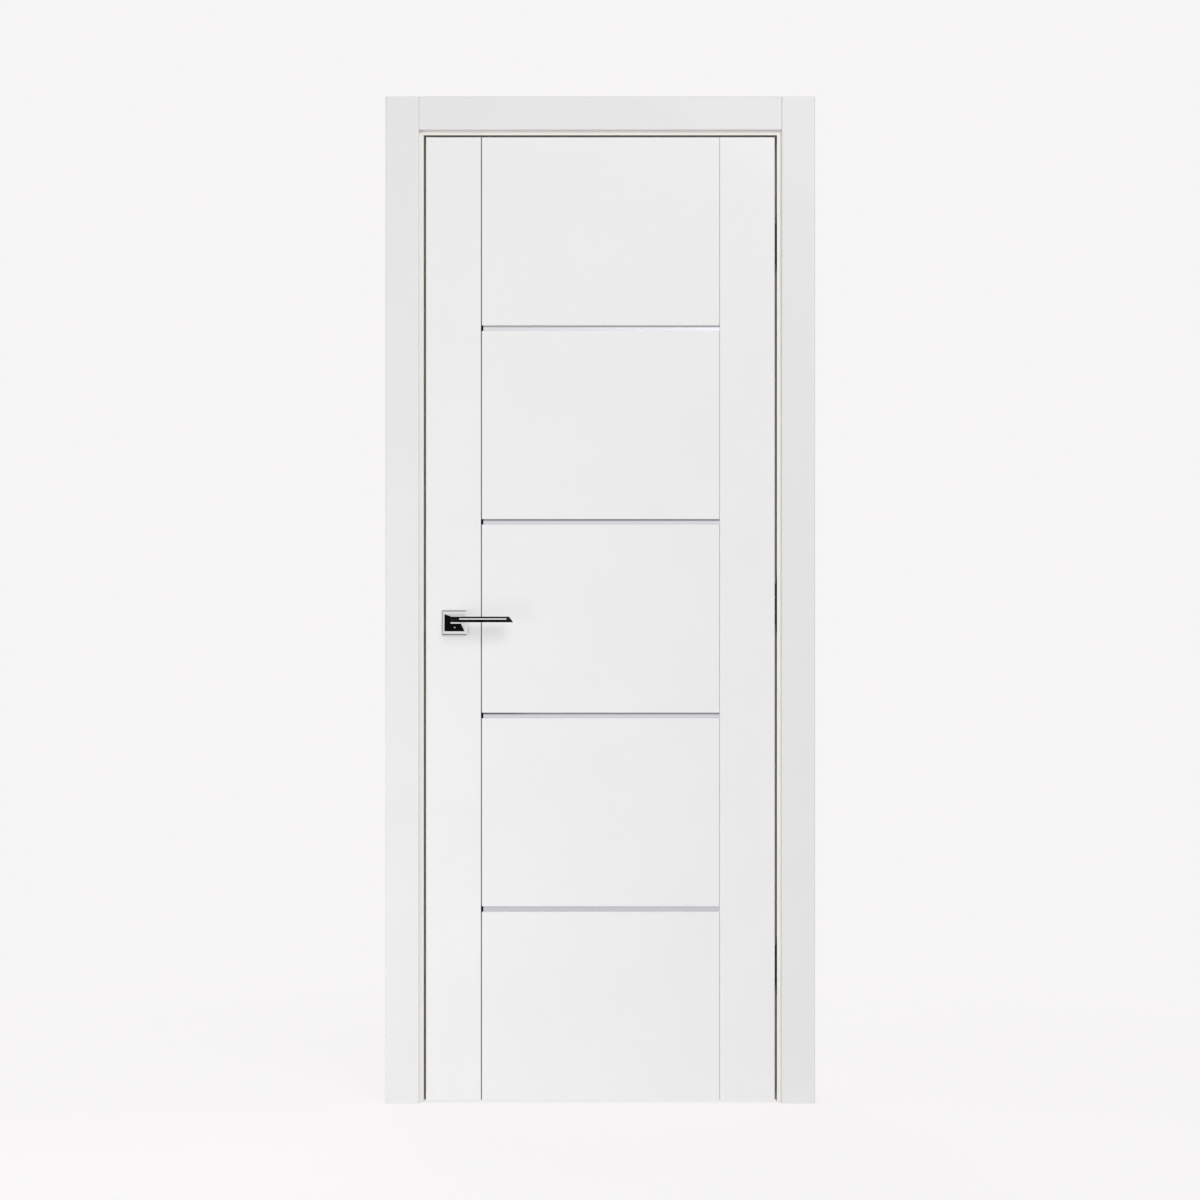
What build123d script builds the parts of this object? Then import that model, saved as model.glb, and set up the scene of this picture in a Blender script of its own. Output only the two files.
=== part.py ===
"""A prehung interior door: a flush five-panel leaf with metal inlays, hung in its jamb with its casings.

Millimetres, +Z up. The origin is on the outer face of the hinge jamb, at floor level and halfway through
the wall. The leaf swings towards -Y on concealed hinges, and its latch edge lies towards -X.
"""

from build123d import *
import os

# Leaf
leaf_width = 730.0
leaf_height = 2015.0
leaf_thickness = 40.0
stile_width = 115.0
leaf_edge_round = 1.0
latch_edge_bevel = 2.2
panel_count = 5
panel_recess = 0.8
latch_joint_groove = 2.2
hinge_joint_groove = 1.2
joint_groove_depth = 3.0

# Metal inlays between the panels
inlay_height = 12.0
inlay_recess = 4.0
inlay_flange = 6.0
inlay_end_gap = 5.0
inlay_lip = 1.5
inlay_lip_height = 4.0

# Gaps round the leaf
edge_gap = 5.0
floor_gap = 6.0
stop_gap = 8.0

# Jamb, stop and seal
jamb_thickness = 32.0
jamb_depth = 100.0
stop_projection = 12.0
stop_width = 38.0
seal_width = 8.0
seal_height = 3.0
seal_tip = 4.0
seal_setback = 1.0

# Casing
casing_width = 70.0
casing_thickness = 12.0
casing_edge_round = 2.5
casing_arris = 0.6
reveal = 9.0

# Concealed hinges
hinge_count = 3
hinge_top_drop = 220.0
hinge_bottom_rise = 280.0
hinge_plate_width = 28.0
hinge_plate_height = 120.0
hinge_plate_thickness = 3.0
hinge_cup_width = 24.0
hinge_cup_height = 96.0
hinge_cup_depth = 22.0
hinge_corner = 6.0
hinge_centre_depth = 17.0
pivot_ahead = 2.5
arm_inner_radius = 18.0
arm_thickness = 8.0
arm_root_angle = 20.0
arm_reach_angle = 58.0
arm_end_angle = 2.0
frame_arm_half_height = 14.0
arm_spacing = 2.0
leaf_arm_height = 26.0
arm_clearance = 0.6
mortise_clearance = 0.2

# Handle
backset = 60.0
handle_height = 1005.0
rose_size = 52.0
rose_thickness = 9.0
rose_bevel = 2.5
collar_diameter = 18.0
collar_clearance = 0.25
neck_base_width = 42.0
neck_base_height = 36.0
neck_length = 12.0
neck_gap = 0.5
block_left = 6.0
block_width = 20.0
block_drop = 1.5
block_front = 54.0
bar_bottom = 1.2
bar_height = 11.8
bar_back = 48.0
bar_front = 60.0
bar_tip = 124.0
bar_tip_slant = 8.5
bar_top_bevel = 3.5
bar_top_bevel_depth = 3.0
bar_bottom_bevel = 5.5
bar_bottom_bevel_depth = 4.0
tip_bevel = 10.0
tip_bevel_depth = 5.0
root_bevel = 18.0
root_bevel_depth = 6.0
spindle_size = 8.0
spindle_socket = 15.0
spindle_clearance = 0.2
spindle_bore = 22.0

# Latch
faceplate_width = 22.0
faceplate_height = 160.0
faceplate_thickness = 3.0
bolt_width = 12.0
bolt_height = 26.0
bolt_length = 24.0
bolt_clearance = 0.3
strike_window_margin = 3.0
strike_pocket_depth = 14.0

# Places worked out from the sizes above
jamb_front = -jamb_depth / 2
jamb_back = jamb_depth / 2
leaf_right = -jamb_thickness - edge_gap
leaf_left = leaf_right - leaf_width
strike_face = leaf_left - edge_gap
frame_left = strike_face - jamb_thickness
leaf_bottom = floor_gap
leaf_top = leaf_bottom + leaf_height
head_face = leaf_top + edge_gap
frame_top = head_face + jamb_thickness
leaf_front = jamb_front
leaf_back = leaf_front + leaf_thickness
leaf_middle = (leaf_front + leaf_back) / 2
stop_front = leaf_back + stop_gap
casing_inset = jamb_thickness - reveal
casing_top = frame_top - casing_inset + casing_width
panel_left = leaf_left + stile_width
panel_right = leaf_right - stile_width
panel_height = (leaf_height - (panel_count - 1) * inlay_height) / panel_count
spindle_x = leaf_left + backset
hinge_y = leaf_front + hinge_centre_depth
pivot_x = -jamb_thickness - edge_gap / 2
pivot_y = leaf_front - pivot_ahead
hinge_low = leaf_bottom + hinge_bottom_rise
hinge_high = leaf_top - hinge_top_drop
hinge_step = (hinge_high - hinge_low) / (hinge_count - 1)
hinge_levels = [hinge_high - number * hinge_step for number in range(hinge_count)]

# Each side of the frame is drawn at one end of it: x runs in from the outer face, y through the wall
frame_sides = {
    "hinge": (Plane(origin=(0, 0, frame_top), x_dir=(-1, 0, 0), z_dir=(0, 0, -1)), frame_top),
    "strike": (Plane(origin=(frame_left, 0, 0), x_dir=(1, 0, 0), z_dir=(0, 0, 1)), frame_top),
    "head": (Plane(origin=(frame_left, 0, frame_top), x_dir=(0, 0, -1), z_dir=(1, 0, 0)), -frame_left),
}
mitres = {
    "hinge": Plane(origin=(0, 0, frame_top), z_dir=(-1, 0, 1)),
    "strike": Plane(origin=(frame_left, 0, frame_top), z_dir=(1, 0, 1)),
}
leaf_middle_plane = Plane(origin=(0, leaf_middle, 0), x_dir=(1, 0, 0), z_dir=(0, -1, 0))
handle_plane = Plane(origin=(spindle_x, leaf_front, handle_height), x_dir=(1, 0, 0), z_dir=(0, -1, 0))
latch_edge_plane = Plane(
    origin=(leaf_left + latch_edge_bevel / 2, leaf_middle, handle_height),
    x_dir=(0, 0, 1),
    z_dir=(-leaf_thickness, latch_edge_bevel, 0),
)
strike_plane = Plane(origin=(strike_face, leaf_middle, handle_height), x_dir=(0, 0, 1), z_dir=(1, 0, 0))

os.makedirs("parts", exist_ok=True)


def write_piece(piece, name):
    """Label a finished piece and write it to its own file."""
    piece.label = name
    export_step(piece, f"parts/{name}.step")


def frame_member(side, section):
    """Run a section along one side of the frame and mitre it where the sides meet."""
    plane, length = frame_sides[side]
    with BuildPart() as member:
        with BuildSketch(plane):
            with BuildLine():
                Polyline(*section, close=True)
            make_face()
        extrude(amount=length)
        for corner, mitre in mitres.items():
            if side == "head":
                split(bisect_by=mitre, keep=Keep.TOP)
            elif side == corner:
                split(bisect_by=mitre, keep=Keep.BOTTOM)
    return member.part


def casing_board(left, bottom, width, height, outward):
    """A flat casing board on one face of the wall, with its front edges rounded."""
    wall = jamb_front if outward < 0 else jamb_back
    with BuildPart() as board:
        with BuildSketch(Plane.XY.offset(bottom)):
            with Locations((left + width / 2, wall + outward * casing_thickness / 2)):
                Rectangle(width, casing_thickness)
        extrude(amount=height)
        face_edges = board.faces().sort_by(Axis.Y)[0 if outward < 0 else -1].edges()
        if height > width:
            fillet(face_edges.filter_by(Axis.Z), radius=casing_edge_round)
        else:
            fillet(face_edges.filter_by(Axis.X), radius=casing_edge_round)
            chamfer(board.edges().filter_by(Axis.Z).group_by(Axis.Y)[0 if outward < 0 else -1], casing_arris)
    return board.part


def hinge_mortise(level, face, into):
    """The recess that a hinge half is let into: a shallow one for its plate and a deep one for its cup."""
    with BuildPart() as mortise:
        for width, height, depth in (
            (hinge_plate_width, hinge_plate_height, hinge_plate_thickness),
            (hinge_cup_width, hinge_cup_height, hinge_cup_depth),
        ):
            cut_width = width + 2 * mortise_clearance
            cut_height = height + 2 * mortise_clearance
            with BuildSketch(Plane.YZ.offset(face)):
                with Locations((hinge_y, level)):
                    RectangleRounded(cut_width, cut_height, hinge_corner)
            extrude(amount=into * depth)
    return mortise.part


def hinge_half(level, face, into, own_arms, other_arms):
    """One half of a concealed hinge: plate, cup with curved slots, and curved arms round the pivot."""
    outer_radius = arm_inner_radius + arm_thickness
    with BuildPart() as half:
        with BuildSketch(Plane.YZ.offset(face)):
            with Locations((hinge_y, level)):
                RectangleRounded(hinge_plate_width, hinge_plate_height, hinge_corner)
        extrude(amount=into * hinge_plate_thickness)
        with BuildSketch(Plane.YZ.offset(face)):
            with Locations((hinge_y, level)):
                RectangleRounded(hinge_cup_width, hinge_cup_height, hinge_corner)
        extrude(amount=into * hinge_cup_depth)
        for low, high in other_arms:
            with BuildSketch(Plane.XY.offset(level + low - arm_clearance)):
                with BuildLine():
                    sweep = -into * (arm_reach_angle + arm_end_angle)
                    inner = CenterArc((pivot_x, pivot_y), arm_inner_radius - arm_clearance, 90, sweep)
                    outer = CenterArc((pivot_x, pivot_y), outer_radius + arm_clearance, 90, sweep)
                    Line(inner @ 0, outer @ 0)
                    Line(inner @ 1, outer @ 1)
                make_face()
            extrude(amount=high - low + 2 * arm_clearance, mode=Mode.SUBTRACT)
        for low, high in own_arms:
            with BuildSketch(Plane.XY.offset(level + low)):
                with BuildLine():
                    start = 90 - into * arm_root_angle
                    sweep = into * (arm_root_angle + arm_reach_angle)
                    inner = CenterArc((pivot_x, pivot_y), arm_inner_radius, start, sweep)
                    outer = CenterArc((pivot_x, pivot_y), outer_radius, start, sweep)
                    Line(inner @ 0, outer @ 0)
                    Line(inner @ 1, outer @ 1)
                make_face()
            extrude(amount=high - low)
    return half.part


# The recesses for the hinges, in the jamb and in the leaf
jamb_mortises = [hinge_mortise(level, -jamb_thickness, 1) for level in hinge_levels]
stile_mortises = [hinge_mortise(level, leaf_right, -1) for level in hinge_levels]

# The three jamb boards, mitred at the head
jamb_section = [(0, jamb_front), (jamb_thickness, jamb_front), (jamb_thickness, jamb_back), (0, jamb_back)]

with BuildPart() as hinge_jamb:
    add(frame_member("hinge", jamb_section))
    for mortise in jamb_mortises:
        add(mortise, mode=Mode.SUBTRACT)
write_piece(hinge_jamb.part, "hinge_jamb")

with BuildPart() as strike_jamb:
    add(frame_member("strike", jamb_section))
    with BuildSketch(strike_plane):
        Rectangle(faceplate_height + 2 * mortise_clearance, faceplate_width + 2 * mortise_clearance)
    extrude(amount=-faceplate_thickness, mode=Mode.SUBTRACT)
    with BuildSketch(strike_plane):
        Rectangle(bolt_height + 2 * strike_window_margin, bolt_width + 2 * strike_window_margin)
    extrude(amount=-strike_pocket_depth, mode=Mode.SUBTRACT)
write_piece(strike_jamb.part, "strike_jamb")

with BuildPart() as head_jamb:
    add(frame_member("head", jamb_section))
write_piece(head_jamb.part, "head_jamb")

# The stop behind the leaf, and the seal on its face
stop_inner = jamb_thickness + stop_projection
stop_section = [
    (jamb_thickness, stop_front),
    (stop_inner, stop_front),
    (stop_inner, stop_front + stop_width),
    (jamb_thickness, stop_front + stop_width),
]
seal_outer = jamb_thickness + seal_setback
seal_side = (seal_width - seal_tip) / 2
seal_section = [
    (seal_outer, stop_front),
    (seal_outer + seal_side, stop_front - seal_height),
    (seal_outer + seal_side + seal_tip, stop_front - seal_height),
    (seal_outer + seal_width, stop_front),
]
for side in frame_sides:
    write_piece(frame_member(side, stop_section), f"{side}_stop")
    write_piece(frame_member(side, seal_section), f"{side}_seal")

# Casings on both faces of the wall: the legs run up past the head, which stands between them
head_bottom = casing_top - casing_width
leg_width = casing_width
strike_leg = frame_left + casing_inset - casing_width
hinge_leg = -casing_inset
for face_name, outward in (("front", -1), ("rear", 1)):
    head_left = strike_leg + leg_width
    write_piece(casing_board(strike_leg, 0, leg_width, casing_top, outward), f"{face_name}_casing_strike")
    write_piece(casing_board(hinge_leg, 0, leg_width, casing_top, outward), f"{face_name}_casing_hinge")
    write_piece(
        casing_board(head_left, head_bottom, hinge_leg - head_left, casing_width, outward),
        f"{face_name}_casing_head",
    )

# Concealed hinges: the frame half has one arm, which passes between the two arms of the leaf half
frame_arms = [(-frame_arm_half_height, frame_arm_half_height)]
leaf_arm_low = frame_arm_half_height + arm_spacing
leaf_arm_high = leaf_arm_low + leaf_arm_height
leaf_arms = [(leaf_arm_low, leaf_arm_high), (-leaf_arm_high, -leaf_arm_low)]
for number, level in enumerate(hinge_levels, start=1):
    write_piece(hinge_half(level, -jamb_thickness, 1, frame_arms, leaf_arms), f"frame_hinge_{number}")
    write_piece(hinge_half(level, leaf_right, -1, leaf_arms, frame_arms), f"leaf_hinge_{number}")

# Stiles
with BuildPart() as hinge_stile:
    with BuildSketch(Plane.XY.offset(leaf_bottom)):
        with Locations(((panel_right + leaf_right) / 2, leaf_middle)):
            Rectangle(stile_width, leaf_thickness)
    extrude(amount=leaf_height)
    fillet(hinge_stile.edges().filter_by(Axis.Z), radius=leaf_edge_round)
    for mortise in stile_mortises:
        add(mortise, mode=Mode.SUBTRACT)
write_piece(hinge_stile.part, "hinge_stile")

with BuildPart() as latch_stile:
    with BuildSketch(Plane.XY.offset(leaf_bottom)):
        with BuildLine():
            Polyline(
                (leaf_left, leaf_front),
                (panel_left, leaf_front),
                (panel_left, leaf_back),
                (leaf_left + latch_edge_bevel, leaf_back),
                close=True,
            )
        make_face()
    extrude(amount=leaf_height)
    fillet(latch_stile.edges().filter_by(Axis.Z), radius=leaf_edge_round)
    with BuildSketch(handle_plane):
        Circle(spindle_bore / 2)
    extrude(amount=-leaf_thickness, mode=Mode.SUBTRACT)
    with BuildSketch(latch_edge_plane):
        Rectangle(faceplate_height + 2 * mortise_clearance, faceplate_width + 2 * mortise_clearance)
    extrude(amount=-faceplate_thickness, mode=Mode.SUBTRACT)
    with BuildSketch(latch_edge_plane):
        Rectangle(bolt_height + 2 * bolt_clearance, bolt_width + 2 * bolt_clearance)
    extrude(amount=-bolt_length, mode=Mode.SUBTRACT)
write_piece(latch_stile.part, "latch_stile")

# Panels, counted from the top, with an inlay under each one but the last
panel_width = panel_right - panel_left
panel_thickness = leaf_thickness - 2 * panel_recess
face_width = panel_width - latch_joint_groove - hinge_joint_groove
face_middle = (panel_left + latch_joint_groove + panel_right - hinge_joint_groove) / 2
for number in range(1, panel_count + 1):
    panel_top = leaf_top - (number - 1) * (panel_height + inlay_height)
    panel_bottom = panel_top - panel_height
    with BuildPart() as panel:
        with BuildSketch(Plane.XY.offset(panel_bottom)):
            with Locations((face_middle, leaf_middle)):
                Rectangle(face_width, panel_thickness)
            with Locations(((panel_left + panel_right) / 2, leaf_middle)):
                Rectangle(panel_width, panel_thickness - 2 * joint_groove_depth)
        extrude(amount=panel_height)
    write_piece(panel.part, f"panel_{number}")
    if number == panel_count:
        break
    with BuildPart() as inlay:
        with BuildSketch(Plane.XY.offset(panel_bottom - inlay_height)):
            with Locations(((panel_left + panel_right) / 2, leaf_middle)):
                Rectangle(panel_width, panel_thickness - 2 * inlay_recess)
            for face in (leaf_front, leaf_back):
                toward = 1 if face == leaf_front else -1
                flange_middle = face + toward * (panel_recess + inlay_recess + inlay_flange / 2)
                with Locations((panel_left + inlay_end_gap / 2, flange_middle)):
                    Rectangle(inlay_end_gap, inlay_flange, mode=Mode.SUBTRACT)
        extrude(amount=inlay_height)
        with BuildSketch(Plane.YZ.offset(panel_left + inlay_end_gap)):
            for face in (leaf_front, leaf_back):
                toward = 1 if face == leaf_front else -1
                inlay_face = face + toward * (panel_recess + inlay_recess)
                with BuildLine():
                    Polyline(
                        (inlay_face, panel_bottom),
                        (inlay_face - toward * inlay_lip, panel_bottom),
                        (inlay_face, panel_bottom - inlay_lip_height),
                        close=True,
                    )
                make_face()
        extrude(amount=panel_width - inlay_end_gap)
    write_piece(inlay.part, f"inlay_{number}")

# Latch: a faceplate and bolt let into the bevelled edge, and a strike plate in the jamb
with BuildPart() as latch_faceplate:
    with BuildSketch(latch_edge_plane):
        Rectangle(faceplate_height, faceplate_width)
        Rectangle(bolt_height + 2 * bolt_clearance, bolt_width + 2 * bolt_clearance, mode=Mode.SUBTRACT)
    extrude(amount=-faceplate_thickness)
write_piece(latch_faceplate.part, "latch_faceplate")

with BuildPart() as latch_bolt:
    with BuildSketch(latch_edge_plane):
        Rectangle(bolt_height, bolt_width)
    extrude(amount=-bolt_length)
write_piece(latch_bolt.part, "latch_bolt")

with BuildPart() as strike_plate:
    with BuildSketch(strike_plane):
        Rectangle(faceplate_height, faceplate_width)
        Rectangle(
            bolt_height + 2 * strike_window_margin,
            bolt_width + 2 * strike_window_margin,
            mode=Mode.SUBTRACT,
        )
    extrude(amount=-faceplate_thickness)
write_piece(strike_plate.part, "strike_plate")

# Roses, fixed to both faces of the leaf
with BuildPart() as front_rose:
    with BuildSketch(handle_plane):
        Rectangle(rose_size, rose_size)
    extrude(amount=rose_thickness)
    chamfer(front_rose.faces().sort_by(Axis.Y)[0].edges(), rose_bevel)
    with BuildSketch(handle_plane):
        Circle(collar_diameter / 2 + collar_clearance)
    extrude(amount=rose_thickness, mode=Mode.SUBTRACT)
write_piece(front_rose.part, "front_rose")

with BuildPart() as rear_rose:
    mirror(front_rose.part, about=leaf_middle_plane)
write_piece(rear_rose.part, "rear_rose")

# Levers: a flared neck, a square block and a bar bevelled on its front, at its root and at its slanted tip
neck_start = rose_thickness + neck_gap
neck_end = neck_start + neck_length
bar_top = bar_bottom + bar_height
block_middle_x = block_width / 2 - block_left
block_middle_z = (bar_top - block_drop) / 2
block_height = bar_top + block_drop
section_plane = Plane(
    origin=(spindle_x - block_left, leaf_front, handle_height), x_dir=(0, -1, 0), z_dir=(-1, 0, 0)
)
plan_plane = Plane(origin=(spindle_x, leaf_front, handle_height), x_dir=(1, 0, 0), z_dir=(0, 0, 1))

with BuildPart() as front_lever:
    with BuildSketch(handle_plane):
        Circle(collar_diameter / 2)
    extrude(amount=neck_start)
    with BuildSketch(handle_plane.offset(neck_start)):
        Rectangle(neck_base_width, neck_base_height)
    with BuildSketch(handle_plane.offset(neck_end)):
        with Locations((block_middle_x, block_middle_z)):
            Rectangle(block_width, block_height)
    loft()
    with BuildSketch(handle_plane.offset(neck_end)):
        with Locations((block_middle_x, block_middle_z)):
            Rectangle(block_width, block_height)
    extrude(amount=block_front - neck_end)
    with BuildSketch(section_plane):
        with BuildLine():
            Polyline(
                (bar_back, bar_bottom),
                (bar_front - bar_bottom_bevel_depth, bar_bottom),
                (bar_front, bar_bottom + bar_bottom_bevel),
                (bar_front, bar_top - bar_top_bevel),
                (bar_front - bar_top_bevel_depth, bar_top),
                (bar_back, bar_top),
                close=True,
            )
        make_face()
    extrude(amount=-(bar_tip + block_left))
    with BuildSketch(handle_plane.offset(bar_back)):
        with BuildLine():
            Polyline(
                (bar_tip, bar_bottom),
                (bar_tip, bar_top),
                (bar_tip - bar_tip_slant, bar_top),
                close=True,
            )
        make_face()
    extrude(amount=bar_front - bar_back, mode=Mode.SUBTRACT)
    with BuildSketch(plan_plane):
        with BuildLine():
            Polyline(
                (bar_tip, -bar_front),
                (bar_tip - tip_bevel - bar_tip_slant / 2, -bar_front),
                (bar_tip, -bar_front + tip_bevel_depth),
                close=True,
            )
        make_face()
    extrude(amount=bar_top, mode=Mode.SUBTRACT)
    with BuildSketch(plan_plane):
        with BuildLine():
            Polyline(
                (-block_left, -bar_front),
                (root_bevel - block_left, -bar_front),
                (-block_left, root_bevel_depth - bar_front),
                close=True,
            )
        make_face()
    extrude(amount=bar_top, mode=Mode.SUBTRACT)
    with BuildSketch(handle_plane):
        Rectangle(spindle_size + 2 * spindle_clearance, spindle_size + 2 * spindle_clearance)
    extrude(amount=spindle_socket, mode=Mode.SUBTRACT)
write_piece(front_lever.part, "front_lever")

with BuildPart() as rear_lever:
    mirror(front_lever.part, about=leaf_middle_plane)
write_piece(rear_lever.part, "rear_lever")

with BuildPart() as spindle:
    with BuildSketch(handle_plane.offset(spindle_socket)):
        Rectangle(spindle_size, spindle_size)
    extrude(amount=-(leaf_thickness + 2 * spindle_socket))
write_piece(spindle.part, "spindle")
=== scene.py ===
"""Dresses the prehung door's CAD frame with finishes and small fittings, in a plain white studio."""

import logging
import math
from abc import ABC, abstractmethod
from collections.abc import Callable
from dataclasses import dataclass, field
from enum import Enum
from typing import Any

import bmesh
import bpy
from mathutils import Matrix, Vector


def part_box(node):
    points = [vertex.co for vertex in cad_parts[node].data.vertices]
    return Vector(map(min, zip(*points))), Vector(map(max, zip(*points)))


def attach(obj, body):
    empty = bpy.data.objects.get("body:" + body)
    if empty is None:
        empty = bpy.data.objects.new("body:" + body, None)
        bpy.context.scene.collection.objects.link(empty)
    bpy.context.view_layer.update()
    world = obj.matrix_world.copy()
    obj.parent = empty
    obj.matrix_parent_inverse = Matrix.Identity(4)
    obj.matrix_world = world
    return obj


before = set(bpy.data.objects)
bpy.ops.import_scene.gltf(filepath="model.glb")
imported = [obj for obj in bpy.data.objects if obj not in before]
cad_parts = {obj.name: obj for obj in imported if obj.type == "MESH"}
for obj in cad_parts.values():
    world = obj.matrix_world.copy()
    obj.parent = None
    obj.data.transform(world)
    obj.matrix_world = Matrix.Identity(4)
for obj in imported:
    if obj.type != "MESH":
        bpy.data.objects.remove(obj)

logging.basicConfig(level=logging.INFO, format="%(message)s")
log = logging.getLogger("door")

MM = 0.001
SOFTENED_ANGLE = math.radians(15)
Triple = tuple[float, float, float]
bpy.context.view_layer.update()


class Body(Enum):
    """The rigid bodies that pieces ride on."""

    FRAME = "frame"
    LEAF = "leaf"
    LEVERS = "levers"


def arithmetic(operation: str, reflected: bool = False) -> Callable[["Wire", Any], "Wire"]:
    """Make a method of Wire that adds one Math node.

    Args:
        operation: the Math node's operation.
        reflected: whether the Wire is the second value, as in 1 + wire.

    Returns:
        The method, which takes the other value.
    """

    def method(self: "Wire", other: Any) -> "Wire":
        """Add the Math node.

        Args:
            other: the other value, a number or a Wire.

        Returns:
            The node's result.
        """
        left, right = (other, self) if reflected else (self, other)
        return self.tree.node("ShaderNodeMath", {"operation": operation}, {0: left, 1: right})["Value"]

    return method


class Wire:
    """A shader value: one output socket that takes part in arithmetic."""

    __add__ = arithmetic("ADD")
    __radd__ = arithmetic("ADD", reflected=True)
    __sub__ = arithmetic("SUBTRACT")
    __mul__ = arithmetic("MULTIPLY")
    __rmul__ = arithmetic("MULTIPLY", reflected=True)
    __truediv__ = arithmetic("DIVIDE")
    at_least = arithmetic("MAXIMUM")
    at_most = arithmetic("MINIMUM")

    def __init__(self, tree: "Tree", socket: bpy.types.NodeSocket) -> None:
        """Keep the socket and the tree it belongs to.

        Args:
            tree: the node tree that new Math nodes are added to.
            socket: the output socket that carries the value.
        """
        self.tree = tree
        self.socket = socket

    def clamped(self) -> "Wire":
        """Hold the value between 0 and 1.

        Returns:
            The held value.
        """
        return self.at_least(0.0).at_most(1.0)


class Tree:
    """A shader node tree that is filled node by node."""

    def __init__(self, node_tree: bpy.types.NodeTree) -> None:
        """Empty the tree.

        Args:
            node_tree: the tree of a material or a world.
        """
        self.node_tree = node_tree
        node_tree.nodes.clear()

    def node(
        self, kind: str, settings: dict[str, Any] | None = None, inputs: dict[Any, Any] | None = None
    ) -> dict[str, Wire]:
        """Add a node.

        Args:
            kind: the node's type name.
            settings: attributes of the node, set before its sockets.
            inputs: values or Wires by socket name or number.

        Returns:
            The node's outputs by name.
        """
        made = self.node_tree.nodes.new(kind)
        for name, value in (settings or {}).items():
            setattr(made, name, value)
        for key, value in (inputs or {}).items():
            socket = made.inputs[key]
            if isinstance(value, Wire):
                self.node_tree.links.new(value.socket, socket)
            else:
                socket.default_value = value
        return {output.name: Wire(self, output) for output in made.outputs if output.enabled}

    def noise(self, scale: float, detail: float = 2.0, stretch: Triple = (1.0, 1.0, 1.0)) -> Wire:
        """Add a noise over the piece's own coordinates.

        Args:
            scale: cells per metre.
            detail: octaves of finer noise.
            stretch: factors on the coordinates, large across a grain and small along it.

        Returns:
            The noise, from 0 to 1.
        """
        place = self.node("ShaderNodeTexCoord")["Object"]
        spread = self.node("ShaderNodeVectorMath", {"operation": "MULTIPLY"}, {0: place, 1: stretch})
        inputs = {"Vector": spread["Vector"], "Scale": scale, "Detail": detail}
        return self.node("ShaderNodeTexNoise", None, inputs)["Fac"]

    def blend(self, factor: Wire, low: Triple, high: Triple) -> Wire:
        """Mix two colours.

        Args:
            factor: 0 for the first colour, 1 for the second.
            low: the first colour.
            high: the second colour.

        Returns:
            The mixed colour.
        """
        inputs = {0: factor, 6: (*low, 1.0), 7: (*high, 1.0)}
        return self.node("ShaderNodeMix", {"data_type": "RGBA"}, inputs)["Result"]


def scaled(colour: Triple, factor: float) -> Triple:
    """Return a colour made lighter or darker.

    Args:
        colour: linear red, green and blue.
        factor: above 1 for lighter.

    Returns:
        The new colour, with no value above 1.
    """
    return tuple(min(1.0, value * factor) for value in colour)


@dataclass(frozen=True)
class Finish:
    """A surface: a colour that varies a little, a roughness that varies, and a fine relief."""

    slot: str
    colour: Triple
    roughness: float
    metallic: float = 0.0
    tone: float = 0.02
    tone_scale: float = 6.0
    relief: float = 0.03
    relief_scale: float = 700.0
    relief_height: float = 0.2 * MM
    rough_floor: float = 0.8
    rough_cloud: float = 0.25
    rough_grain: float = 0.15
    stretch: Triple = (1.0, 1.0, 1.0)
    coat: float = 0.0
    specular: float = 0.5

    def material(self) -> bpy.types.Material:
        """Return this finish's material, made once.

        Returns:
            The material.
        """
        found = bpy.data.materials.get(self.slot + "_finish")
        if found:
            return found
        made = bpy.data.materials.new(self.slot + "_finish")
        made.use_nodes = True
        tree = Tree(made.node_tree)
        cloud = tree.noise(self.tone_scale, 3.0, self.stretch)
        grain = tree.noise(self.relief_scale, 2.0, self.stretch)
        colour = tree.blend(cloud, scaled(self.colour, 1 - self.tone), scaled(self.colour, 1 + self.tone))
        wear = self.rough_floor + cloud * self.rough_cloud + grain * self.rough_grain
        rough = (self.roughness * wear).clamped()
        relief = {"Strength": self.relief, "Distance": self.relief_height, "Height": grain}
        bump = tree.node("ShaderNodeBump", None, relief)
        shader = tree.node(
            "ShaderNodeBsdfPrincipled",
            None,
            {
                "Base Color": colour,
                "Roughness": rough,
                "Metallic": self.metallic,
                "Coat Weight": self.coat,
                "Specular IOR Level": self.specular,
                "Normal": bump["Normal"],
            },
        )
        tree.node("ShaderNodeOutputMaterial", None, {"Surface": shader["BSDF"]})
        return made


LEAF_WHITE = Finish("leaf_lacquer", (0.84, 0.842, 0.84), 0.42, coat=0.08)
CASING_WHITE = Finish("casing_lacquer", (0.795, 0.795, 0.792), 0.45, coat=0.06)
JAMB_WHITE = Finish("jamb_lacquer", (0.87, 0.86, 0.81), 0.45, coat=0.06)
SEAL = Finish("seal_rubber", (0.55, 0.54, 0.48), 0.8, relief=0.1)
ALUMINIUM = Finish(
    "inlay_aluminium", (0.66, 0.67, 0.70), 0.2, 1.0, tone=0.03, relief=0.01, stretch=(0.03, 1.0, 1.0)
)
CHROME = Finish("polished_chrome", (0.77, 0.77, 0.76), 0.05, 1.0, tone=0.01, relief=0.0)
STEEL = Finish(
    "satin_steel", (0.58, 0.58, 0.57), 0.34, 1.0, tone=0.03, relief=0.06, stretch=(1.0, 1.0, 0.04)
)
HINGE = Finish("hinge_zinc", (0.05, 0.05, 0.05), 0.5, tone=0.05, relief=0.08)
# Dark grey painted shade, laid on the floor of the latch-side joint groove beside each panel.
JOINT_SHADE = Finish("painted_joint_shade", (0.15, 0.15, 0.15), 0.8, specular=0.2)
# Near-black painted shade: it fills the inlays' end notches and stands in for the screws' cross recesses.
HOLLOW_SHADE = Finish("painted_hollow_shade", (0.004, 0.004, 0.004), 0.7, specular=0.1)


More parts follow.
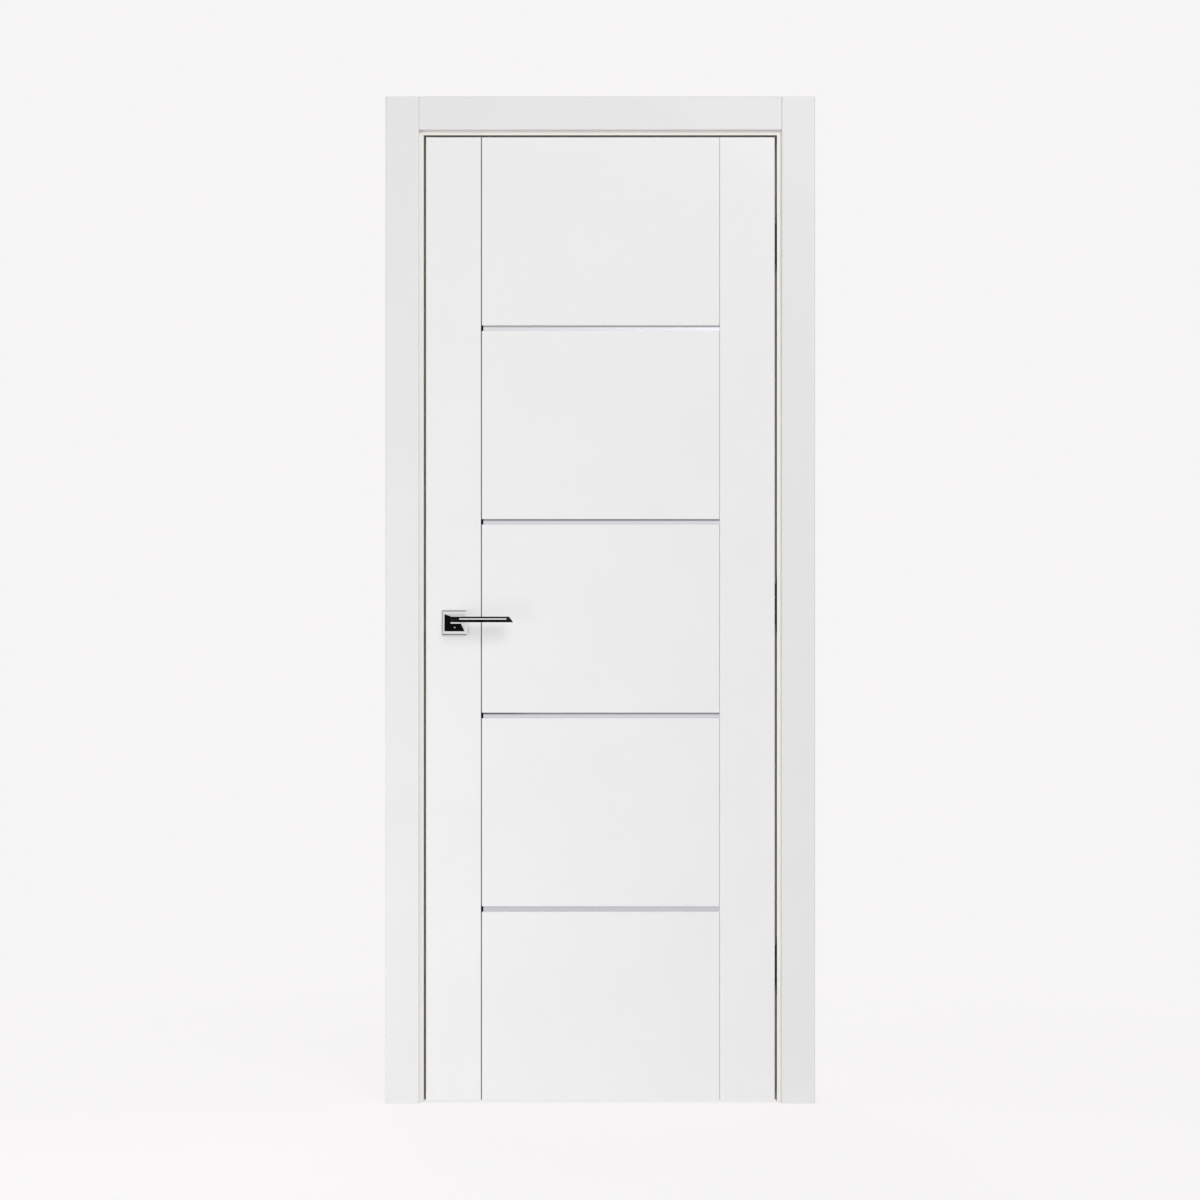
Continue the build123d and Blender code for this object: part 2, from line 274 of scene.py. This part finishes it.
def dress(node: str, finish: Finish, edge: float, segments: int = 2) -> None:
    """Give a CAD node its finish and soften its edges.

    Args:
        node: the CAD node's name.
        finish: what its surface is made of.
        edge: width of the softened edges, in metres, or 0 for none.
        segments: faces across each softened edge.
    """
    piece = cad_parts[node]
    piece.data.materials.clear()
    piece.data.materials.append(finish.material())
    if edge > 0:
        bevel = piece.modifiers.new("soft_edges", "BEVEL")
        bevel.width = edge
        bevel.segments = segments
        bevel.limit_method = "ANGLE"
        bevel.angle_limit = SOFTENED_ANGLE
        bevel.use_clamp_overlap = True
        bevel.harden_normals = True
    log.info("dressed %s in %s", node, finish.slot)


def add_mesh(name: str, mesh: bmesh.types.BMesh, finish: Finish, body: Body) -> bpy.types.Object:
    """Turn a bmesh into a piece that rides on a body.

    Args:
        name: the new object's name.
        mesh: its shape, in the row frame.
        finish: what its surface is made of.
        body: the body it moves with.

    Returns:
        The new object.
    """
    data = bpy.data.meshes.new(name)
    mesh.to_mesh(data)
    mesh.free()
    piece = bpy.data.objects.new(name, data)
    bpy.context.scene.collection.objects.link(piece)
    data.materials.append(finish.material())
    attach(piece, body.value)
    log.info("made %s on %s", name, body.value)
    return piece


@dataclass
class Screw:
    """A countersunk screw head with a cross recess, let into a plate."""

    name: str
    place: Vector
    outward: Vector
    body: Body
    radius: float = 3.4 * MM
    proud: float = 0.15 * MM
    sunk: float = 1.0 * MM
    taper: float = 0.8
    facets: int = 28
    slot_length: float = 3.8 * MM
    slot_width: float = 0.8 * MM
    slot_height: float = 0.2 * MM

    def build(self) -> None:
        """Make the head as a low tapered disc, and its cross recess as two dark bars of painted shade in
        the top face.
        """
        turn = self.outward.to_track_quat("Z", "Y").to_matrix().to_4x4()
        base = Matrix.Translation(self.place) @ turn
        head = bmesh.new()
        shift = Matrix.Translation((0, 0, (self.proud - self.sunk) / 2))
        bmesh.ops.create_cone(
            head,
            cap_ends=True,
            segments=self.facets,
            radius1=self.radius * self.taper,
            radius2=self.radius,
            depth=self.proud + self.sunk,
            matrix=base @ shift,
        )
        add_mesh(self.name, head, STEEL, self.body)
        recess = bmesh.new()
        for angle in (0.0, math.pi / 2):
            size = Matrix.Diagonal((self.slot_length, self.slot_width, self.slot_height, 1.0))
            lift = Matrix.Translation((0, 0, self.proud))
            spin = Matrix.Rotation(angle, 4, "Z")
            bmesh.ops.create_cube(recess, size=1.0, matrix=base @ lift @ spin @ size)
        # The cross recess is painted shade: near-black bars in place of a cut hollow.
        add_mesh(self.name + "_recess", recess, HOLLOW_SHADE, self.body)


class Assembly(ABC):
    """A part of the door that finishes its CAD nodes and adds its own small pieces."""

    @abstractmethod
    def dress(self) -> None:
        """Finish the CAD nodes."""

    def build(self) -> None:
        """Add the small pieces, where there are any."""


@dataclass
class DoorFrame(Assembly):
    """The jamb, its stop, seal and strike plate, and the casings on both faces of the wall."""

    sides: tuple[str, ...] = ("hinge", "strike", "head")
    board_edge: float = 0.6 * MM
    seal_edge: float = 0.5 * MM
    plate_edge: float = 0.3 * MM

    def dress(self) -> None:
        """Finish every fixed board, and the strike plate."""
        for side in self.sides:
            dress(f"{side}_jamb", JAMB_WHITE, self.board_edge)
            dress(f"{side}_stop", JAMB_WHITE, self.board_edge)
            dress(f"{side}_seal", SEAL, self.seal_edge)
            for face in ("front", "rear"):
                dress(f"{face}_casing_{side}", CASING_WHITE, 0.0)
        dress("strike_plate", STEEL, self.plate_edge)


@dataclass
class Leaf(Assembly):
    """The swinging leaf: stiles, panels, metal inlays with black painted shade in their end notches, and
    dark painted shade in the latch-side joints.
    """

    panels: int = 5
    panel_edge: float = 0.5 * MM
    inlay_edge: float = 0.4 * MM
    notch_shade_length: float = 5.0 * MM
    notch_shade_depth: float = 6.6 * MM
    notch_shade_setback: float = 0.9 * MM
    joint_shade_width: float = 2.2 * MM
    joint_shade_depth: float = 1.0 * MM
    groove_depth: float = 3.0 * MM
    block_edge: float = 0.2 * MM

    def dress(self) -> None:
        """Finish the boards and the inlays."""
        for node in ("latch_stile", "hinge_stile"):
            dress(node, LEAF_WHITE, 0.0)
        for number in range(1, self.panels + 1):
            dress(f"panel_{number}", LEAF_WHITE, self.panel_edge)
        for number in range(1, self.panels):
            dress(f"inlay_{number}", ALUMINIUM, self.inlay_edge)

    def build(self) -> None:
        """Fill each inlay's notch with a black block of painted shade, and the latch-side joint beside each
        panel with a dark strip of painted shade.
        """
        for number in range(1, self.panels + 1):
            if number < self.panels:
                # A near-black block of painted shade fills the inlay's end notch, where the hollow's shade
                # falls.
                size = (self.notch_shade_length, self.notch_shade_depth)
                self.fill(f"inlay_{number}", "inlay_end", HOLLOW_SHADE, size, self.notch_shade_setback)
            # A dark strip of painted shade on the floor of the latch-side joint groove, where a shadow line
            # falls.
            size = (self.joint_shade_width, self.joint_shade_depth)
            self.fill(f"panel_{number}", "panel_bead", JOINT_SHADE, size, self.groove_depth - self.joint_shade_depth)

    def fill(
        self, node: str, suffix: str, finish: Finish, size: tuple[float, float], setback: float
    ) -> None:
        """Set a block at the latch end of a node, on both faces of the leaf.

        Args:
            node: the CAD node, whose height the block takes.
            suffix: the kind of block, for its name.
            finish: what the block is made of.
            size: its length along the leaf and its depth into it.
            setback: how far its face lies behind the node's face.
        """
        low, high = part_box(node)
        length, depth = size
        for side, face, sign in (("front", low.y, 1), ("rear", high.y, -1)):
            middle_y = face + sign * (setback + depth / 2)
            centre = Vector((low.x + length / 2, middle_y, (low.z + high.z) / 2))
            extent = Matrix.Diagonal((length, depth, high.z - low.z, 1.0))
            block = bmesh.new()
            bmesh.ops.create_cube(block, size=1.0, matrix=Matrix.Translation(centre) @ extent)
            bmesh.ops.bevel(block, geom=block.edges[:], offset=self.block_edge, segments=2, affect="EDGES")
            number = node.rsplit("_", 1)[1]
            add_mesh(f"{side}_{suffix}_{number}", block, finish, Body.LEAF)


@dataclass
class Hinges(Assembly):
    """The concealed hinges, with a screw at each end of every plate."""

    count: int = 3
    edge: float = 0.4 * MM
    screw_inset: float = 6.0 * MM
    plate_middle: float = 17.0 * MM

    def dress(self) -> None:
        """Finish both halves of every hinge."""
        for number in range(1, self.count + 1):
            for half in ("frame", "leaf"):
                dress(f"{half}_hinge_{number}", HINGE, self.edge)

    def build(self) -> None:
        """Set the plates' screws."""
        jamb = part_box("hinge_jamb")[0]
        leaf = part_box("hinge_stile")
        depth = leaf[0].y + self.plate_middle
        halves = (
            ("frame", jamb.x, Vector((-1, 0, 0)), Body.FRAME),
            ("leaf", leaf[1].x, Vector((1, 0, 0)), Body.LEAF),
        )
        for half, face, outward, body in halves:
            for number in range(1, self.count + 1):
                node = f"{half}_hinge_{number}"
                low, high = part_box(node)
                for end, level in (("low", low.z + self.screw_inset), ("high", high.z - self.screw_inset)):
                    Screw(f"{node}_screw_{end}", Vector((face, depth, level)), outward, body).build()


@dataclass
class Latch(Assembly):
    """The latch's faceplate and bolt, and the screws of the faceplate and the strike plate."""

    screw_inset: float = 12.0 * MM
    plate_edge: float = 0.3 * MM
    bolt_edge: float = 0.5 * MM
    facing: float = 0.9

    def dress(self) -> None:
        """Finish the faceplate and the bolt."""
        dress("latch_faceplate", STEEL, self.plate_edge)
        dress("latch_bolt", STEEL, self.bolt_edge)

    def build(self) -> None:
        """Set the screws, square to the faceplate's slight slope and to the strike plate."""
        plates = (("latch_faceplate", -1, Body.LEAF), ("strike_plate", 1, Body.FRAME))
        for node, sign, body in plates:
            low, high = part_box(node)
            middle = (low + high) / 2
            outward = Vector((sign, 0, 0))
            face = high.x
            if sign < 0:
                outer = [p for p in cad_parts[node].data.polygons if p.normal.x < -self.facing]
                outward = sum((p.normal for p in outer), Vector()).normalized()
                face = sum(p.center.x for p in outer) / len(outer)
            for end, level in (("low", low.z + self.screw_inset), ("high", high.z - self.screw_inset)):
                Screw(f"{node}_screw_{end}", Vector((face, middle.y, level)), outward, body).build()


@dataclass
class Handle(Assembly):
    """The roses and levers on both faces, and the set screw under each neck."""

    rose_edge: float = 0.2 * MM
    lever_edge: float = 0.5 * MM
    edge_segments: int = 3
    screw_radius: float = 1.6 * MM
    screw_dome: float = 0.6
    screw_drop: float = 10.2 * MM
    screw_aside: float = 0.6 * MM
    least_slope: float = 0.3
    most_slope: float = 0.95

    def dress(self) -> None:
        """Finish the roses, the levers and the spindle."""
        for face in ("front", "rear"):
            dress(f"{face}_rose", CHROME, self.rose_edge, self.edge_segments)
            dress(f"{face}_lever", CHROME, self.lever_edge, self.edge_segments)
        dress("spindle", STEEL, 0.0)

    def build(self) -> None:
        """Set a small screw in the lower facet of each neck."""
        low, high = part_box("spindle")
        axis = (low + high) / 2
        for face, sign in (("front", -1), ("rear", 1)):
            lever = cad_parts[f"{face}_lever"].data
            sloping = [
                p
                for p in lever.polygons
                if self.least_slope < -p.normal.z < self.most_slope and sign * p.normal.y > self.least_slope
            ]
            facet = max((p for p in sloping if p.center.z < axis.z), key=lambda p: p.area)
            start = Vector((axis.x + self.screw_aside, 0.0, axis.z - self.screw_drop))
            normal = facet.normal
            rest = normal.x * (facet.center.x - start.x) + normal.z * (facet.center.z - start.z)
            start.y = facet.center.y + rest / normal.y
            base = Matrix.Translation(start) @ normal.to_track_quat("Z", "Y").to_matrix().to_4x4()
            head = bmesh.new()
            dome = base @ Matrix.Diagonal((1, 1, self.screw_dome, 1))
            bmesh.ops.create_uvsphere(
                head, u_segments=20, v_segments=10, radius=self.screw_radius, matrix=dome
            )
            piece = add_mesh(f"{face}_set_screw", head, CHROME, Body.LEVERS)
            for polygon in piece.data.polygons:
                polygon.use_smooth = True


@dataclass(frozen=True)
class Card:
    """A dark card out of the picture, for polished metal to mirror."""

    name: str
    place: Triple
    facing: Triple
    width: float
    height: float
    tone: float = 0.006
    weave: float = 60.0
    weave_contrast: float = 0.2

    def build(self) -> None:
        """Stand the card up where only mirroring surfaces see it."""
        material = bpy.data.materials.new(self.name + "_cloth")
        material.use_nodes = True
        tree = Tree(material.node_tree)
        grey = (self.tone,) * 3
        dark, light = scaled(grey, 1 - self.weave_contrast), scaled(grey, 1 + self.weave_contrast)
        colour = tree.blend(tree.noise(self.weave), dark, light)
        inputs = {"Base Color": (0.0, 0.0, 0.0, 1.0), "Emission Color": colour, "Emission Strength": 1.0}
        cloth = tree.node("ShaderNodeBsdfPrincipled", None, {**inputs, "Specular IOR Level": 0.0})
        tree.node("ShaderNodeOutputMaterial", None, {"Surface": cloth["BSDF"]})
        turn = Vector(self.facing).to_track_quat("Z", "Y").to_matrix().to_4x4()
        size = Matrix.Diagonal((self.width, self.height, 1.0, 1.0))
        mesh = bmesh.new()
        place = Matrix.Translation(self.place) @ turn @ size
        bmesh.ops.create_grid(mesh, x_segments=1, y_segments=1, size=0.5, matrix=place)
        data = bpy.data.meshes.new(self.name)
        mesh.to_mesh(data)
        mesh.free()
        data.materials.append(material)
        card = bpy.data.objects.new(self.name, data)
        bpy.context.scene.collection.objects.link(card)
        card.visible_camera = False
        card.visible_diffuse = False
        card.visible_shadow = False
        card.visible_transmission = False


@dataclass(frozen=True)
class Lamp:
    """A round soft light that points at the door."""

    name: str
    place: Triple
    size: float
    power: float

    def build(self, target: Vector) -> None:
        """Hang the light.

        Args:
            target: the point that it faces.
        """
        data = bpy.data.lights.new(self.name, "AREA")
        data.shape = "DISK"
        data.size = self.size
        data.energy = self.power
        lamp = bpy.data.objects.new(self.name, data)
        lamp.location = self.place
        lamp.rotation_mode = "QUATERNION"
        lamp.rotation_quaternion = (target - lamp.location).to_track_quat("-Z", "Y")
        bpy.context.scene.collection.objects.link(lamp)


@dataclass
class Studio:
    """The pale floor, the light and the camera of the photograph's view."""

    background: Triple = (0.930, 0.914, 0.922)
    lens: float = 100.0
    picture_height: float = 2.512
    middle: Vector = field(default_factory=lambda: Vector((-0.4027, -0.05, 1.0525)))
    sensor: float = 36.0
    floor_radius: float = 2.4
    floor_clear_from: float = 0.9
    floor_clear_at: float = 2.35
    floor_glow: float = 0.8
    floor_level: float = 1.05
    floor_grain: float = 40.0
    ambient: float = 0.45
    lamps: tuple[Lamp, ...] = (
        Lamp("key", (1.3, -6.4, 4.5), 4.4, 252.0),
        Lamp("fill", (-1.9, -1.6, 0.5), 1.4, 11.0),
        Lamp("rear", (-2.0, 6.2, 3.6), 4.0, 150.0),
    )
    cards: tuple[Card, ...] = (
        Card("card_low", (-0.74, -0.164, 0.6), (0.0, 0.0, 1.0), 0.33, 0.222),
        Card("card_sill", (-0.4, -1.4, 0.03), (0.0, 0.0, 1.0), 1.2, 1.9, tone=0.36),
        Card("card_left", (-1.9, -0.35, 1.0), (1.0, 0.0, 0.0), 0.5, 1.4),
        Card("card_far", (-1.9, -1.85, 1.0), (1.0, 0.0, 0.0), 1.1, 1.4),
        Card("card_high", (-0.7, -0.65, 2.9), (0.0, 0.0, -1.0), 1.6, 1.3, tone=0.02),
        Card("card_right", (1.2, -2.3, 1.0), (-0.62, 0.78, 0.0), 0.8, 1.5, tone=0.02),
    )

    def seen(self, tree: Tree) -> Wire:
        """Tell rays that look at the studio from rays that light the door.

        Args:
            tree: the node tree to add to.

        Returns:
            1 for rays from the camera, a mirror or glass, and 0 for the rest.
        """
        path = tree.node("ShaderNodeLightPath")
        return (path["Is Camera Ray"] + path["Is Glossy Ray"] + path["Is Transmission Ray"]).clamped()

    def world(self) -> None:
        """Light evenly from all round, and show the background to the camera and to mirrors."""
        world = bpy.data.worlds.new("studio")
        bpy.context.scene.world = world
        world.use_nodes = True
        tree = Tree(world.node_tree)
        colour = (*self.background, 1.0)
        light = tree.node("ShaderNodeBackground", None, {"Color": colour, "Strength": self.ambient})
        view = tree.node("ShaderNodeBackground", None, {"Color": colour, "Strength": 1.0})
        inputs = {0: self.seen(tree), 1: light["Background"], 2: view["Background"]}
        shader = tree.node("ShaderNodeMixShader", None, inputs)
        tree.node("ShaderNodeOutputWorld", None, {"Surface": shader["Shader"]})

    def floor(self) -> None:
        """Lay a round pale floor that fades into the background and keeps the shadow."""
        centre = (self.middle.x, 0.0, 0.0)
        mesh = bmesh.new()
        place = Matrix.Translation(centre)
        bmesh.ops.create_circle(mesh, cap_ends=True, segments=96, radius=self.floor_radius, matrix=place)
        data = bpy.data.meshes.new("floor")
        mesh.to_mesh(data)
        mesh.free()
        ground = bpy.data.objects.new("floor", data)
        bpy.context.scene.collection.objects.link(ground)
        material = bpy.data.materials.new("floor_paper")
        material.use_nodes = True
        tree = Tree(material.node_tree)
        spot = tree.node("ShaderNodeTexCoord")["Object"]
        apart = tree.node("ShaderNodeVectorMath", {"operation": "DISTANCE"}, {0: spot, 1: centre})["Value"]
        fade = ((apart - self.floor_clear_from) / (self.floor_clear_at - self.floor_clear_from)).clamped()
        grain = tree.noise(self.floor_grain)
        colour = tree.blend(grain, scaled(self.background, 0.97), scaled(self.background, 0.99))
        paper = tree.node("ShaderNodeBsdfPrincipled", None, {"Base Color": colour, "Roughness": 0.9})
        inputs = {"Color": (*self.background, 1.0), "Strength": self.floor_level}
        glow = tree.node("ShaderNodeEmission", None, inputs)
        inputs = {0: self.seen(tree) * self.floor_glow, 1: paper["BSDF"], 2: glow["Emission"]}
        lit = tree.node("ShaderNodeMixShader", None, inputs)
        clear = tree.node("ShaderNodeBsdfTransparent")
        inputs = {0: fade, 1: lit["Shader"], 2: clear["BSDF"]}
        shader = tree.node("ShaderNodeMixShader", None, inputs)
        tree.node("ShaderNodeOutputMaterial", None, {"Surface": shader["Shader"]})
        data.materials.append(material)

    def camera(self) -> None:
        """Look straight at the door from half its height, with a long lens."""
        data = bpy.data.cameras.new("camera")
        data.lens = self.lens
        data.sensor_width = self.sensor
        data.clip_end = 100.0
        distance = self.picture_height * self.lens / self.sensor
        camera = bpy.data.objects.new("camera", data)
        camera.location = self.middle + Vector((0, -distance, 0))
        camera.rotation_euler = (math.radians(90), 0, 0)
        bpy.context.scene.collection.objects.link(camera)
        bpy.context.scene.camera = camera
        bpy.context.scene.view_settings.view_transform = "Standard"

    def build(self) -> None:
        """Set up the whole studio."""
        self.world()
        self.floor()
        for lamp in self.lamps:
            lamp.build(self.middle)
        for card in self.cards:
            card.build()
        self.camera()


def main() -> None:
    """Dress the door, add its small fittings and set up the studio."""
    assemblies = (DoorFrame(), Leaf(), Hinges(), Latch(), Handle())
    for assembly in assemblies:
        assembly.dress()
        assembly.build()
    Studio().build()


if __name__ == "__main__":
    main()
